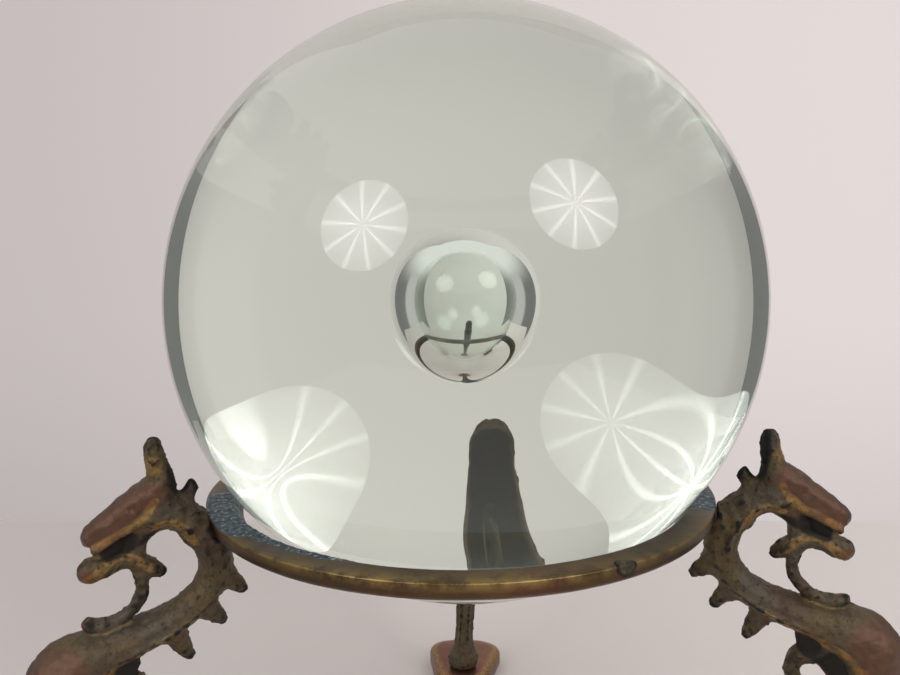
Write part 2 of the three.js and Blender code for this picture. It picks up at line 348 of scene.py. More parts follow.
GLASS_INDEX = 1.46
GLASS_DENSITY = 2.0
GLASS_TINT = (0.52, 0.55, 0.42)  # of light that has passed through much glass
SURFACE_TINT = (0.925, 1.0, 0.94)
DUST = (0.05, 0.045, 0.04)


def crystal():
    """Clear glass, faintly grey-green, with dust specks and a slight waviness."""
    s = Shader("crystal")
    cells = s.node("ShaderNodeTexVoronoi", feature="F1")
    s.set(cells, Vector=s.place(), Scale=62.0, Randomness=1.0)
    rarely = s.node("ShaderNodeSeparateColor")
    s.set(rarely, Color=cells.outputs["Color"])
    chosen = s.math("GREATER_THAN", rarely.outputs["Red"], 0.975)
    speck = s.math("MULTIPLY", chosen, s.math("LESS_THAN", cells.outputs["Distance"], 0.035))
    s.set(s.surface, Base_Color=SURFACE_TINT, Roughness=0.0, IOR=GLASS_INDEX)
    s.set(s.surface, Transmission_Weight=1.0, Normal=s.bump(s.noise(9.0, 1.0), 0.06, 0.002))
    dust = s.set(s.node("ShaderNodeBsdfDiffuse"), Color=DUST)
    depth = s.set(s.node("ShaderNodeVolumeAbsorption"), Density=GLASS_DENSITY, Color=GLASS_TINT)
    blend = s.node("ShaderNodeMixShader")
    layers = (speck, s.surface.outputs["BSDF"], dust.outputs["BSDF"])
    for socket, value in zip(blend.inputs, layers):
        s.feed(socket, value)
    output = s.tree.nodes["Material Output"]
    s.set(output, Surface=blend.outputs["Shader"], Volume=depth.outputs["Volume"])
    return s.material


# ---------------------------------------------------------------- the glass ball

BUBBLE_WIDTH = 0.183  # half width of the air bubble, in ball radii
BUBBLE_HEIGHT = 0.19


def ball_mesh():
    """The sphere, and its air bubble as an inner wall that faces the bubble's own middle."""
    bm = bmesh.new()
    bmesh.ops.create_uvsphere(bm, u_segments=160, v_segments=96, radius=ball_radius)
    wall = bmesh.ops.create_uvsphere(bm, u_segments=72, v_segments=44, radius=1.0)["verts"]
    for vert in wall:
        egg = 1 + 0.07 * vert.co.z + 0.02 * vert.co.x
        vert.co.x *= BUBBLE_WIDTH * ball_radius * egg
        vert.co.y *= BUBBLE_WIDTH * ball_radius * egg
        vert.co.z *= BUBBLE_HEIGHT * ball_radius
    inner_faces = {face for vert in wall for face in vert.link_faces}
    bmesh.ops.reverse_faces(bm, faces=list(inner_faces))
    bmesh.ops.translate(bm, vec=ball_place, verts=bm.verts)
    mesh = bpy.data.meshes.new("glass_ball")
    bm.to_mesh(mesh)
    bm.free()
    mesh.shade_smooth()
    made = bpy.data.objects.new("glass_ball", mesh)
    bpy.context.scene.collection.objects.link(made)
    return made


# ---------------------------------------------------------------- the ring

# the ring's section, in the drawing's millimetres about the ball's centre
RING_TOP = -48.4
RING_BOTTOM = -52.7
RING_OUTER = 65.9
RING_FLAT = 63.9  # how far out its underside is flat
RING_INNER = 56.9
RIM_ROUNDING = 0.45
RING_SECTION = [
    # radius, height, how far round the corner is cut
    (59.6, RING_TOP, 0.5),
    (RING_INNER, -52.0, 0.35),
    (57.6, RING_BOTTOM, 0.35),
    (RING_FLAT, RING_BOTTOM, 1.1),
    (65.6, -51.3, 0.8),
    (RING_OUTER, RING_TOP, RIM_ROUNDING),
]


def rounded(section):
    """The closed outline with each corner replaced by a short curve."""
    outline = []
    count = len(section)
    for index, (x, z, cut) in enumerate(section):
        corner = Vector((x, z))
        before = Vector(section[index - 1][:2]) - corner
        after = Vector(section[(index + 1) % count][:2]) - corner
        start = corner + before.normalized() * cut
        end = corner + after.normalized() * cut
        outline += bend(start, corner, end, 4)
    return outline


def clear_of_ball(point):
    """The point, or the nearest one outside the ball if it lies too close."""
    away = point - ball_place
    clear = ball_radius + 0.1 * MM
    return point if away.length > clear else ball_place + away.normalized() * clear


def degrees_from(angle, middle):
    return (angle - middle + 180) % 360 - 180


def solder_reach(angle, depth):
    """How much solder has run over the ring here. depth is 0 at its inside and 1 at its rim."""
    left = degrees_from(angle, LEG_ANGLES["left"])
    run = smoothstep(-20, -13, left) * (1 - smoothstep(20, 48, left))
    width = 0.85 - 0.009 * max(left, 0)
    spill = run * (1 - smoothstep(width - 0.12, width + 0.04, depth))
    right = degrees_from(angle, LEG_ANGLES["right"] + 6)
    patch = (1 - smoothstep(4, 9, abs(right))) * (1 - smoothstep(0.4, 0.7, depth))
    rear = degrees_from(angle, LEG_ANGLES["rear"])
    back = (1 - smoothstep(6, 12, abs(rear))) * (1 - smoothstep(0.5, 0.8, depth))
    return float(max(spill, patch, back))


def ring_mesh(segments=320):
    outline = rounded(RING_SECTION)
    count = len(outline)
    points, edge, tinned, grime = [], [], [], []
    for turn in range(segments):
        angle = 2 * math.pi * turn / segments
        from_front = abs(degrees_from(math.degrees(angle), -90))
        for radius, height in outline:
            place = on_circle(angle, radius, height)
            wobble = noise.noise(place * 0.09) * 0.16 + noise.noise(place * 0.45) * 0.05
            on_top = smoothstep(-49.6, -48.5, height)
            depth = (radius - RING_INNER) / (RING_OUTER - RING_INNER)
            solder_here = solder_reach(math.degrees(angle), depth)
            lump = solder_here * (0.16 + 0.1 * noise.noise(place * 1.4))
            place.z += wobble * 0.6 + lump * float(on_top)
            place.xy *= 1 + 0.5 * wobble / radius * float(smoothstep(60, 65, radius))
            points.append(clear_of_ball(ring_centre + place * MM))
            # where the painted highlight runs: the outer top edge, which is also rubbed brass
            edge.append(smoothstep(65.0, 65.7, radius) * smoothstep(-49.3, -48.5, height))
            tinned.append(solder_here if height > -52.2 and radius < 65.4 else 0.0)
            # painted shade: 0 at the ring's front, rising to 1 by 42 degrees round
            grime.append(smoothstep(12, 42, from_front))
    faces = []
    for turn in range(segments):
        faces += band(turn * count, (turn + 1) % segments * count, count)
    made = new_object("brass_ring", points, faces)
    face_outwards(made)
    paint(made.data, edge=edge, solder=tinned, grime=grime)
    return made


RIVET_ANGLE = math.radians(-60.3)
RIVET_RADIUS = 2.5
RIVET_PROUD = 0.28
RIVET_DEPTH = 0.5
RIM_SLOPE = 0.1  # how much the ring's outer face leans in for each millimetre down


def over_the_rim(angle, past, proud):
    """A place near the ring's top outer edge, so far past the edge and so proud of the ring."""
    half_bend = RIM_ROUNDING * math.pi / 4
    turn = min(max(past / (2 * half_bend) + 0.5, 0), 1) * math.pi / 2
    down = max(past - half_bend, 0)
    radius = RING_OUTER - RIM_ROUNDING + (RIM_ROUNDING + proud) * math.sin(turn)
    radius += min(past + half_bend, 0) - RIM_SLOPE * down
    height = RING_TOP - RIM_ROUNDING + (RIM_ROUNDING + proud) * math.cos(turn) - down
    return on_circle(angle, radius, height)


def rivet_mesh():
    """A round plug let into the ring at its rim and filed to the ring, a little proud of it."""
    rings, sides = 6, 36
    reaches = [step / rings for step in range(1, rings + 1)]
    levels = [(reach, RIVET_PROUD - 0.2 * reach**6) for reach in reaches]
    levels.append((1.0, -RIVET_DEPTH))
    points = [over_the_rim(RIVET_ANGLE, 0, RIVET_PROUD)]
    rim = [0.0]
    for reach, proud in levels:
        for side in range(sides):
            turn = 2 * math.pi * side / sides
            spread = RIVET_RADIUS * reach * (1 + 0.03 * math.sin(5 * turn))
            angle = RIVET_ANGLE + spread * math.cos(turn) / RING_OUTER
            points.append(over_the_rim(angle, spread * math.sin(turn), proud))
            rim.append(smoothstep(0.55, 0.85, reach))
    points.append(over_the_rim(RIVET_ANGLE, 0, -RIVET_DEPTH))
    rim.append(1.0)
    last = len(points) - 1
    faces = []
    for side in range(sides):
        after = (side + 1) % sides
        faces.append((0, 1 + side, 1 + after))
        faces.append((last, last - sides + after, last - sides + side))
    for level in range(len(levels) - 1):
        faces += band(1 + level * sides, 1 + (level + 1) * sides, sides)
    made = new_object("rim_plug", [ring_centre + place * MM for place in points], faces)
    face_outwards(made)
    paint(made.data, rim=rim)
    return made


# ---------------------------------------------------------------- a dragon casting

# each ear's top: its height, and its distance from the ball's axis
EAR_TOPS = {"left": (-28.3, 78.2), "right": (-29.2, 76.2), "rear": (-26.2, 77.6)}

# Each bar of the casting is a list of stations in the leg's own plane: distance from the
# ball's axis, height, half thickness in the plane, half thickness across it.
SNOUT = [(77.6, -39.6, 3.1, 5.0), (80.6, -40.7, 2.7, 4.8), (83.6, -43.1, 2.9, 4.6),
         (86.9, -45.7, 3.0, 4.2), (90.0, -47.8, 2.8, 3.7), (91.4, -48.7, 2.3, 3.0)]
CHEEK = [(76.5, -44.2, 4.0, 4.8), (80.4, -47.4, 3.2, 4.0), (83.2, -50.4, 2.4, 2.8)]
LOWER_JAW = [(78.8, -58.5, 1.5, 1.8), (81.8, -56.7, 1.9, 2.4), (85.6, -54.9, 1.9, 2.9),
             (89, -55.5, 2.3, 3.0), (92, -56.4, 2.75, 3.0)]
JAW_KNOB = [(80.4, -57.5, 2.1, 2.3), (78.0, -59.0, 1.5, 1.7)]
# thin rims along the open mouth, on each side
UPPER_LIP = [(79.5, -43.6, 0.9, 1.3), (83, -46.6, 1.0, 1.3), (87, -48.6, 1.0, 1.2),
             (91, -51.0, 0.9, 1.0)]
LOWER_LIP = [(92, -55.6, 0.9, 1.2), (88.4, -54.2, 0.9, 1.2), (85.2, -53.3, 1.0, 1.3),
             (81.8, -55.4, 0.9, 1.2), (79.4, -57.4, 0.8, 1.0)]
MOUTH_WEB = [(82, -47.5, 3.4, 2.0), (86, -50.6, 3.0, 1.5), (89.2, -52.4, 2.2, 1.2)]
TOOTH = [(84.6, -50.0, 0.9, 2.7), (85.0, -52.2, 0.5, 2.4)]
JAW_HINGE = [(82.2, -50.6, 2.1, 2.9), (82.8, -54.6, 2.0, 2.5)]
BEARD = [(82.4, -57.2, 1.9, 2.0), (81.8, -60.4, 1.5, 1.7), (82.2, -64.0, 1.45, 1.6),
         (84.8, -67.4, 1.5, 1.8), (88.8, -69.1, 1.5, 2.0), (91.8, -68.8, 1.5, 2.1),
         (93.2, -68.3, 1.3, 1.9)]
RING_WEB = [(71, -51.6, 2.4, 3.4), (67.5, -50.7, 2.3, 4.0), (63, -50.5, 2.3, 4.2)]
SPINE = [(79, -45, 3.7, 4.7), (73.6, -46.1, 3.9, 4.6), (69.2, -50.2, 3.8, 4.6),
         (66.0, -57, 3.9, 4.6), (66.6, -63, 3.8, 4.4), (70.6, -67.6, 3.5, 4.4),
         (77, -71.2, 3.8, 4.8), (85, -73.6, 4.3, 5.5), (93, -75.4, 4.8, 6.3),
         (98, -76.6, 4.8, 6.0)]
CREST = [(72.6, -44.2, 2.6, 2.0), (70.9, -41.6, 1.9, 1.5), (70.6, -39.9, 1.2, 1.1),
         (70.8, -39.0, 0.7, 0.8)]
# the dip between the crest and the ring
DIP = [(66.4, -43.4, 2.4, 9), (67.7, -43.5, 2.3, 9)]
BACK_SPIKES = [((64.5, -62.5), (59.9, -66.6)), ((69, -68.8), (64.9, -73.4)),
               ((76, -73.5), (72.4, -80.2))]
SHOULDER = [(92.5, -75.6, 5.0, 6.2), (96, -76.8, 6.4, 7.4), (98.8, -78.6, 6.4, 7.6),
            (99.3, -82, 6.0, 7.0)]
SHIN = [(98.6, -80, 6.2, 7.0), (100.3, -86, 5.6, 6.3), (98, -96, 5.0, 5.2),
        (90, -108, 4.6, 4.3), (81.5, -118, 4.3, 3.7), (77, -127, 3.9, 3.2), (77, -136, 3.7, 3.1)]
COLLAR = [(77, -134, 3.4, 3.1), (77, -139, 4.2, 4.2), (77, -143.5, 5.5, 6.0)]
BELLY_WEB = [(86.5, -79, 3.5, 2.2), (92, -83, 4.5, 2.6), (95, -88, 3.5, 2.6)]
# hollows on both cheeks: distance, height, depth from the leg's plane, and radius
PITS = [(83.4, -42.6, 4.9, 1.15), (85.1, -43.6, 4.9, 0.75), (76.6, -39.3, 3.9, 1.5),
        (90.6, -46.8, 3.7, 0.6)]
SCROLL_CENTRE = (87.6, -87.2)
SCROLL_REACH = 5.2
COLLAR_END = -146.5
RING_GAP = 0.1  # between a casting and the ring that rests in it
FAR = 9.0  # distance given to points that no bar reaches
FEATHER = 3.0  # margin round a bar in which it still blends with its neighbours


def between(stations, amount):
    """Catmull-Rom through the stations, which may hold any number of values each."""
    values = np.array(stations, dtype=float)
    padded = np.vstack([2 * values[0] - values[1], values, 2 * values[-1] - values[-2]])
    place = np.clip(amount, 0, 1) * (len(values) - 1)
    index = np.minimum(place.astype(int), len(values) - 2)
    t = (place - index)[:, None]
    a, b, c, d = (padded[index + shift] for shift in range(4))
    cubic = -a + 3 * b - 3 * c + d
    return 0.5 * (2 * b + (c - a) * t + (2 * a - 5 * b + 4 * c - d) * t**2 + cubic * t**3)


class Clay:
    """A block on a regular grid that holds, at each point, the distance to the surface."""

    def __init__(self, low, high, step):
        self.low = np.array(low, dtype=float)
        self.step = step
        self.counts = np.ceil((np.array(high) - self.low) / step).astype(int) + 1
        self.x, self.y, self.z = (
            self.low[axis] + step * np.arange(self.counts[axis]) for axis in range(3)
        )
        self.distance = np.full(self.counts, FAR, dtype=np.float32)

    def window(self, low, high):
        first = np.maximum(((np.array(low) - self.low) / self.step).astype(int), 0)
        last = np.minimum(((np.array(high) - self.low) / self.step).astype(int) + 2, self.counts)
        return tuple(slice(a, max(a, b)) for a, b in zip(first, last))

    def bar_distance(self, stations, relief, aside=0.0, pieces=28):
        """The window that a bar reaches, and its distance there."""
        values = between(stations, np.linspace(0, 1, pieces + 1))
        reach = values[:, 2].max() + FEATHER
        low = (values[:, 0].min() - reach, -12, values[:, 1].min() - reach)
        high = (values[:, 0].max() + reach, 12, values[:, 1].max() + reach)
        cut = self.window(low, high)
        x, z = np.meshgrid(self.x[cut[0]], self.z[cut[2]], indexing="ij")
        best = np.full(x.shape, 1e9)
        near = np.zeros((6, *x.shape))
        length = 0.0
        for start, end in zip(values[:-1], values[1:]):
            step = end - start
            span = math.hypot(step[0], step[1])
            if span < 1e-6:
                continue
            along = ((x - start[0]) * step[0] + (z - start[1]) * step[1]) / span**2
            t = np.clip(along, 0, 1)
            off_x = x - start[0] - step[0] * t
            off_z = z - start[1] - step[1] * t
            high_here = start[2] + step[2] * t
            wide_here = start[3] + step[3] * t
            away = np.hypot(off_x, off_z)
            side = np.sign(off_x * step[1] - off_z * step[0])
            score = away / high_here
            better = score < best
            best = np.where(better, score, best)
            facts = (away, high_here, wide_here, side, length + t * span, score)
            for slot, value in enumerate(facts):
                near[slot] = np.where(better, value, near[slot])
            length += span
        away, high_here, wide_here, side, along, _ = (value[:, None, :] for value in near)
        across = (self.y[cut[1]][None, :, None] - aside) / wide_here
        ratio = np.sqrt((away / high_here) ** 2 + across**2)
        thin = np.minimum(high_here, wide_here)
        distance = (ratio - 1) * thin
        if relief is not None:
            distance = distance + relief(side * away / high_here, across, along, length)
        return cut, distance

    def add(self, stations, blend=0.9, relief=None, aside=0.0):
        cut, bar = self.bar_distance(stations, relief, aside)
        here = self.distance[cut]
        mixed = np.clip(0.5 + 0.5 * (here - bar) / blend, 0, 1)
        self.distance[cut] = here * (1 - mixed) + bar * mixed - blend * mixed * (1 - mixed)

    def carve(self, stations, blend=0.5):
        cut, bar = self.bar_distance(stations, None)
        here = self.distance[cut]
        mixed = np.clip(0.5 - 0.5 * (here + bar) / blend, 0, 1)
        self.distance[cut] = here * (1 - mixed) - bar * mixed + blend * mixed * (1 - mixed)

    def pit(self, x, z, depth_at, radius):
        """A round hollow on both cheeks, its middle depth_at from the leg's plane."""
        reach = radius + 1.5
        cut = self.window((x - reach, -12, z - reach), (x + reach, 12, z + reach))
        gx, gy, gz = np.meshgrid(self.x[cut[0]], self.y[cut[1]], self.z[cut[2]], indexing="ij")
        ball = np.sqrt((gx - x) ** 2 + (np.abs(gy) - depth_at) ** 2 + (gz - z) ** 2) - radius
        self.distance[cut] = np.maximum(self.distance[cut], -ball)


def wave(value, middle, width):
    return np.exp(-(((value - middle) / width) ** 2))


def body_relief(offset, across, along, length):
    """Raised lines with grooves beside them: near the hole on the neck, low on the flanks."""
    flank = smoothstep(0.25, 0.7, np.abs(across))
    low = smoothstep(22, 36, along)
    line = (-0.6 * wave(offset, 0.4, 0.17) + 0.5 * wave(offset, 0.75, 0.14)) * low
    line += 0.2 * wave(offset, 0.05, 0.16) * low
    upper = -0.55 * wave(offset, -0.35, 0.18) + 0.4 * wave(offset, -0.72, 0.14)
    upper += 0.3 * wave(offset, 0.02, 0.14)
    fade = 1 - smoothstep(length - 16, length - 4, along)
    ribs = 0.14 * np.sin(along * 1.9 + 3 * offset) * (1 - smoothstep(20, 44, along))
    return (line + upper * (1 - smoothstep(16, 30, along)) + ribs) * flank * fade


def flutes(offset, across, along, length):
    """Grooves down the lower leg, deepest at the ankle."""
    angle = np.arctan2(across, offset + 1e-6)
    return 0.42 * smoothstep(18, 48, along) * np.cos(7 * angle)


def snout_relief(offset, across, along, length):
    """A sharp lip low on each side of the upper jaw, over the open mouth."""
    return -0.4 * wave(offset, 0.62, 0.2) * smoothstep(0.4, 0.8, np.abs(across))


def spike_stations(root, tip):
    ends = np.array([root, tip], dtype=float)
    shape = [(0.0, 3.1, 3.0), (0.4, 2.3, 2.5), (0.75, 1.75, 2.0), (1.0, 1.3, 1.5)]
    return [(*(ends[0] + (ends[1] - ends[0]) * at), high, wide) for at, high, wide in shape]


def ear_stations(top, out):
    """Both ears as one broad tab with a round top."""
    return [(76.8, -41.5, 2.9, 5.0), (76.8, -38.2, 2.7, 4.7),
            ((76.8 + out) / 2, top - 6.6, 2.4, 4.1), (out - 0.1, top - 3.8, 2.15, 4.1),
            (out, top - 2.4, 2.0, 3.6), (out, top - 1.8, 1.75, 3.1)]


def scroll_stations():
    arc = [(95, 2.3, 3.3), (140, 1.9, 2.8), (185, 1.8, 2.6), (235, 1.7, 2.6), (285, 1.7, 2.8)]
    curl = [(91, -77.5, 2.6, 4.0)]
    for degrees, high, wide in arc:
        angle = math.radians(degrees)
        x = SCROLL_CENTRE[0] + SCROLL_REACH * math.cos(angle)
        z = SCROLL_CENTRE[1] + SCROLL_REACH * math.sin(angle)
        curl.append((x, z, high, wide))
    return [*curl, (96, -91, 2.4, 3.2)]


def casting():
    """The casting without its ears, sculpted in its own plane in the drawing's millimetres."""
    clay = Clay((56, -10.5, -149), (109, 10.5, -26), GRID_STEP)
    clay.add(SPINE, relief=body_relief)
    clay.add(SHOULDER, blend=1.8)
    clay.add(SHIN, blend=2.0, relief=flutes)
    clay.add(COLLAR, blend=1.0)
    clay.add(BELLY_WEB, blend=1.0)
    clay.add(scroll_stations(), blend=0.8)
    for root, tip in BACK_SPIKES:
        clay.add(spike_stations(root, tip), blend=1.0)
    clay.add(CREST, blend=1.2)
    clay.add(CHEEK, blend=1.0)
    clay.add(MOUTH_WEB, blend=0.6)
    clay.add(JAW_HINGE, blend=0.8)
    clay.add(LOWER_JAW, blend=0.7)
    clay.add(JAW_KNOB, blend=0.7)
    clay.add(TOOTH, blend=0.3)
    clay.add(SNOUT, blend=0.6, relief=snout_relief)
    clay.add(BEARD, blend=0.45)
    clay.carve(DIP, blend=0.8)
    clay.add(RING_WEB, blend=1.0)
    for hand in (-1, 1):
        clay.add(UPPER_LIP, blend=0.6, aside=hand * 3.1)
        clay.add(LOWER_LIP, blend=0.6, aside=hand * 1.7)
    for hollow in PITS:
        clay.pit(*hollow)
    return clay


def ring_distance(x, y, side):
    """How far from the ring's axis a place in a leg's own frame is."""
    angle = math.radians(LEG_ANGLES[side])
    return np.hypot(x - RING_ASIDE * math.cos(angle), y + RING_ASIDE * math.sin(angle))


def trimmed_surface(bare, side):
    """The casting with its ears, the notch that the ring rests in, and the collar's flat end."""
    clay = copy.copy(bare)
    clay.distance = bare.distance.copy()
    clay.add(ear_stations(*EAR_TOPS[side]), blend=0.8)
    x, z = np.meshgrid(clay.x, clay.z, indexing="ij")
    x, z = x[:, None, :], z[:, None, :]
    radius = ring_distance(x, clay.y[None, :, None], side)
    ring = np.maximum(radius - RING_OUTER - RING_GAP, RING_BOTTOM - RING_GAP - z)
    # the ring's lower outer corner is cut back, and so is the notch's
    corner = (radius - RING_FLAT) * 0.58 - (z - RING_BOTTOM) * 0.81 - 0.4
    ring = np.maximum(ring, corner)
    trimmed = np.maximum(clay.distance, np.minimum(-ring, FAR))
    trimmed = np.maximum(trimmed, COLLAR_END - z).astype(np.float32)
    grid = openvdb.FloatGrid(FAR)
    grid.copyFromArray(np.ascontiguousarray(trimmed))
    points, quads = grid.convertToQuads(0.0)
    return points * clay.step + clay.low, quads[:, ::-1]


def neighbours_mean(values, edges, count):
    total = np.zeros_like(values)
    np.add.at(total, edges[:, 0], values[edges[:, 1]])
    np.add.at(total, edges[:, 1], values[edges[:, 0]])
    shared = np.bincount(edges.ravel(), minlength=count)
    return total / np.maximum(shared, 1)[:, None]


def along(line):
    """Places close together along a line of places, so that their spots join up."""
    return [tuple(place) for place in between(line, np.linspace(0, 1, 8 * len(line)))]


# x, z and reach of the high spots that hands and polish have rubbed
RUBBED = along([(79, -39.6, 2.6), (84, -42.4, 3.3), (88, -45.6, 3.6), (91, -47.8, 3.3)])
RUBBED += [(93, -57, 2.0), (98.5, -76.5, 6.0), (101.5, -80, 7.0), (94.4, -68.2, 0.9)]
# of the rims where bare brass shows: the brow and lip, the neck, the lower jaw, the belly
GILT = along([(78.6, -41.4, 0.9), (81.6, -45.4, 1.1), (86.4, -48.3, 1.3), (91.6, -51, 1.5)])
GILT += along([(79.4, -47.6, 0.8), (76.4, -47.2, 1.3), (73.2, -48.8, 1.4), (70.6, -52.6, 1.0)])
GILT += along([(92.6, -58.6, 1.7), (88.6, -54.5, 1.0), (84.6, -53.6, 1.0), (79.8, -57.2, 1.2)])
GILT += along([(76, -72.4, 0.8), (84, -76.4, 1.2), (93, -79.6, 1.4), (99.5, -87, 2.2)])
GILT += [(78.6, -34, 2.4)]
# of the hollows darkened by painted shade, and how far from the leg's plane it reaches
SHADED_HOLLOWS = along([(80.2, -48.4, 2.0, 3.6), (84, -50.2, 2.6, 3.2), (88, -52.3, 2.2, 3.2)])
SHADED_HOLLOWS += along([(84.5, -79.5, 2.6, 3.4), (90.5, -82, 3.8, 3.6), (94.5, -86.5, 3.4, 3.4)])
SHADED_HOLLOWS += along([(73, -39, 2.4), (73.6, -34.5, 2.6), (74.4, -29.5, 2.2)])
SHADED_HOLLOWS += [(83.4, -42.2, 0.9, 6.0), (82.8, -59.6, 1.2, 1.2)]


def spots(points, places):
    """How near each point is to the given places: 1 at a place, 0 beyond its reach."""
    amount = np.zeros(len(points))
    for x, z, reach, *depth in places:
        away = np.hypot(points[:, 0] - x, points[:, 2] - z) / reach
        near = 1 - smoothstep(0.5, 1.4, away)
        if depth:
            near = near * (1 - smoothstep(0.8, 1.15, np.abs(points[:, 1]) / depth[0]))
        amount = np.maximum(amount, near)
    return amount


def casting_detail(points, normals, rub, seed):
    """Pits, lumps and file marks of a sand casting, as a move along each normal."""
    moves = np.zeros(len(points))
    shift = Vector((seed * 17.0, 0, 0))
    for index, point in enumerate(points):
        place = Vector(point) + shift
        lumps = noise.noise(place * 0.3) * 0.26 + noise.noise(place * 0.62) * 0.22
        grain = noise.noise(place * 0.95) + 0.6 * noise.noise(place * 2.0)
        pits = -0.5 * max(noise.noise(place * 1.3 + shift) - 0.22, 0)
        moves[index] = lumps + (0.09 * grain + pits) * (1 - 0.92 * rub[index])
    return points + normals * moves[:, None]


def dragon(side, clay, seed):
    made = new_object(f"{side}_dragon", *trimmed_surface(clay, side))
    mesh = made.data
    count = len(mesh.vertices)
    edges = np.empty(len(mesh.edges) * 2, dtype=int)
    mesh.edges.foreach_get("vertices", edges)
    edges = edges.reshape(-1, 2)
    points = np.empty(count * 3)
    mesh.vertices.foreach_get("co", points)
    points = points.reshape(-1, 3)
    flat_end = points[:, 2] < COLLAR_END + 0.4
    for _ in range(2):
        points = np.where(flat_end[:, None], points, neighbours_mean(points, edges, count))
    mesh.vertices.foreach_set("co", points.ravel())
    normals = np.empty(count * 3)
    mesh.vertex_normals.foreach_get("vector", normals)
    normals = normals.reshape(-1, 3)
    rub = spots(points, RUBBED)
    seat = ring_distance(points[:, 0], points[:, 1], side) < RING_OUTER + 0.7
    seat &= points[:, 2] > RING_BOTTOM - 0.8
    # dark: painted shade in the large hollows
    gilt, dark = spots(points, GILT), spots(points, SHADED_HOLLOWS)
    carved = casting_detail(points, normals, np.where(flat_end | seat, 1.0, rub), seed)
    points = np.where((flat_end | seat)[:, None], points, carved)
    soft = points.copy()
    for _ in range(9):
        soft = neighbours_mean(soft, edges, count)
    cavity = 0.5 + 0.5 * np.einsum("ij,ij->i", soft - points, normals) / 0.5
    paint(mesh, cavity=np.clip(cavity, 0, 1), rub=rub, gilt=gilt, dark=dark)
    turned = Matrix.Rotation(math.radians(LEG_ANGLES[side]), 3, "Z")
    points[:, 1] += LEG_LEAN[side] * (RING_TOP - points[:, 2])
    placed = points @ np.array(turned).T * MM + np.array(ball_centre)
    mesh.vertices.foreach_set("co", placed.ravel())
    mesh.update()
    return made


# ---------------------------------------------------------------- the feet

FOOT = {"inner_end": 66.0, "outer_end": 100.0, "inner_half": 10.5, "outer_half": 14.5}
FOOT_CORNER = 7.5
FOOT_HEIGHT = 8.5  # from the table to the collar's end
FOOT_TOP = (79.5, 8.15)  # its highest place, under the collar: distance from the axis, height


def straight(start, end, steps):
    """Places between two ends, without the ends."""
    return [start.lerp(end, step / steps) for step in range(1, steps)]


def foot_outline(inset):
    """The paddle seen from above, drawn smaller by the inset, in the leg's own plane."""
    round_end = FOOT["inner_half"] - inset
    centre = FOOT["inner_end"] + FOOT["inner_half"]
    half = FOOT["outer_half"] - inset
    end = FOOT["outer_end"] - inset
    corner = FOOT_CORNER - 0.4 * inset
    flare = math.atan2(half - round_end, end - corner - centre)
    arc = []
    for step in range(21):
        angle = math.pi / 2 + flare + (math.pi - 2 * flare) * step / 20
        arc.append(Vector((centre + round_end * math.cos(angle), round_end * math.sin(angle))))
    tip = Vector((end, 0))
    near, far = (Vector((end - corner, side * half)) for side in (-1, 1))
    near_corner, far_corner = (Vector((end, side * half)) for side in (-1, 1))
    return [
        *arc,
        *straight(arc[-1], near, 8),
        *bend(near, near_corner, tip, 12),
        *bend(tip, far_corner, far, 12)[1:],
        *straight(far, arc[0], 8),
    ]


# the foot's section from its underside up: height above the table, inset from the outline
FOOT_RISE = [(0.0, 0.9), (0.25, 0.35), (0.9, 0.0), (4.6, 0.0), (5.5, 0.25), (6.4, 0.8), (7.1, 1.6),
             (7.55, 2.6), (7.8, 3.8), (8.0, 5.4), (8.1, 7.6), (8.1, 9.0)]


def foot(side):
    table = COLLAR_END - FOOT_HEIGHT
    points, edge, faces = [], [], []
    for height, inset in FOOT_RISE:
        for x, y in foot_outline(inset):
            wobble = 0.12 * noise.noise(Vector((x, y, height)) * 0.25) if height > 1 else 0.0
            points.append(Vector((x, y, table + height + wobble)))
            edge.append(wave(height, 6.6, 1.0) if inset < 3 else 0.0)
    count = len(foot_outline(0.0))
    for level in range(len(FOOT_RISE) - 1):
        faces += band(level * count, (level + 1) * count, count)
    faces.append(tuple(reversed(range(count))))
    last = (len(FOOT_RISE) - 1) * count
    middle = len(points)
    points.append(Vector((FOOT_TOP[0], 0, table + FOOT_TOP[1])))
    edge.append(0.0)
    for index in range(count):
        faces.append((last + index, last + (index + 1) % count, middle))
    turned = Matrix.Rotation(math.radians(LEG_ANGLES[side]), 3, "Z")
    aside = Vector((0, LEG_LEAN[side] * (RING_TOP - COLLAR_END), 0))
    placed = [ball_centre + turned @ (point + aside) * MM for point in points]
    made = new_object(f"{side}_paddle_foot", placed, faces)
    face_outwards(made)
    paint(made.data, edge=edge)
    return made


# ---------------------------------------------------------------- solder

# the line across the ring that solder follows, from its rim to its seat
SOLDER_PATH = [(65.75, -48.75), (65.3, -48.42), (62.5, -48.4), (60, -48.4), (59.3, -48.8),
               (58.6, -49.7), (57.9, -50.6)]
# from where to where, in degrees from the leg, and where its outer border starts to run inward
SOLDER_ARCS = {"left": (-18, 47, 6), "right": (-7, 15, 4), "rear": (-9, 9, 4)}
# its thickness at even steps along that line, and how far it is let into the ring
SOLDER_LIFT = (0.0, 0.4, 0.6, 0.65, 0.6, 0.4, 0.05)
SOLDER_SUNK = 0.12


def solder_border(turn, last, narrows):
    """Where along the line across the ring the solder begins, so far round from its leg."""
    border = 0.28 * float(smoothstep(narrows, narrows + 11, turn))
    border += 0.22 * max(turn - narrows - 8, 0) / (last - narrows - 8)
    border += 0.05 * noise.noise(Vector((turn * 0.35, 0, 0)))
    return max(border, 0)


